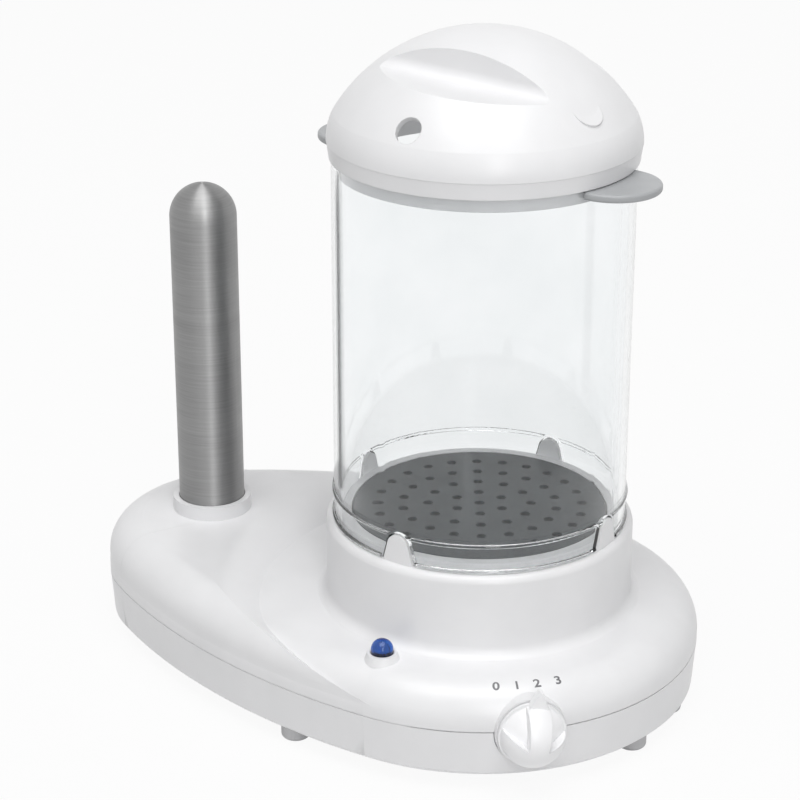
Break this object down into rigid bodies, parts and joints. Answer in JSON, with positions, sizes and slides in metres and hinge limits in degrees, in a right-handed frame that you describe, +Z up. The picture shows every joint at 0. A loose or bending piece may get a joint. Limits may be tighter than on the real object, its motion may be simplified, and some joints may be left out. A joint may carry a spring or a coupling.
{
  "type": "hot dog steamer",
  "caption": "Table-top hot dog steamer: egg-shaped base with heated plinth, clear container with domed lid, heated bun spike, control knob and pilot lamp.",
  "frame": {"origin": "on the table, under the middle of the base", "axes": "+Z up; +X along the base towards the container, so the spike is at -X; -Y towards the controls"},
  "size_m": [0.292, 0.199, 0.3054],
  "materials": {
    "white_plastic": "smooth white moulding",
    "grey_rubber": "matt grey rubber",
    "grey_plastic": "satin grey moulding",
    "black_plastic": "matt black moulding",
    "cream_plastic": "heat-proof cream moulding",
    "clear_plastic": "clear polished moulding",
    "blue_lens": "clear blue lens",
    "bulb_glass": "clear glass",
    "dark_coating": "dark non-stick coating",
    "brushed_steel": "polished tube",
    "plain_steel": "plated steel",
    "brass": "turned brass",
    "seal_rubber": "silicone rubber"
  },
  "bodies": {
    "base": {"upper_shell": "white_plastic", "bottom_cover": "white_plastic", "foot_right_front": "grey_rubber", "foot_right_back": "grey_rubber", "foot_middle_front": "grey_rubber", "foot_middle_back": "grey_rubber", "foot_left_front": "grey_rubber", "foot_left_back": "grey_rubber", "cover_screws": "plain_steel", "cord_gland": "black_plastic", "terminal_block": "cream_plastic", "switch_body": "cream_plastic", "switch_nut": "plain_steel", "lamp_lens": "blue_lens", "lamp_bulb": "bulb_glass", "lamp_holder": "cream_plastic", "heating_plate": "dark_coating", "plate_seal": "seal_rubber", "heating_element": "plain_steel", "element_clamp": "plain_steel", "plate_screws": "plain_steel", "thermostat": "black_plastic", "thermal_fuse": "brass", "spike_tube": "brushed_steel", "spike_heater": "plain_steel", "spike_insulator": "cream_plastic", "spike_clamp": "plain_steel", "spike_screws": "plain_steel"},
    "knob": {"control_knob": "white_plastic", "switch_shaft": "brass"},
    "tray": {"sausage_tray": "dark_coating"},
    "container": {"container": "clear_plastic", "grip_left": "grey_plastic", "grip_right": "grey_plastic"},
    "lid": {"lid": "white_plastic"}
  },
  "joints": [
    {"name": "knob_turn", "type": "hinge", "parent": "base", "child": "knob", "pos_m": [0.11296, -0.07539, 0.0288], "axis": [-0.6613, 0.7501, 0], "range_deg": [-40, 20]},
    {"name": "tray_lift", "type": "slide", "parent": "base", "child": "tray", "axis": [0, 0, 1], "range_m": [0, 0.12]},
    {"name": "container_lift", "type": "slide", "parent": "base", "child": "container", "axis": [0, 0, 1], "range_m": [0, 0.2]},
    {"name": "lid_lift", "type": "slide", "parent": "container", "child": "lid", "axis": [0, 0, 1], "range_m": [0, 0.12]}
  ]
}
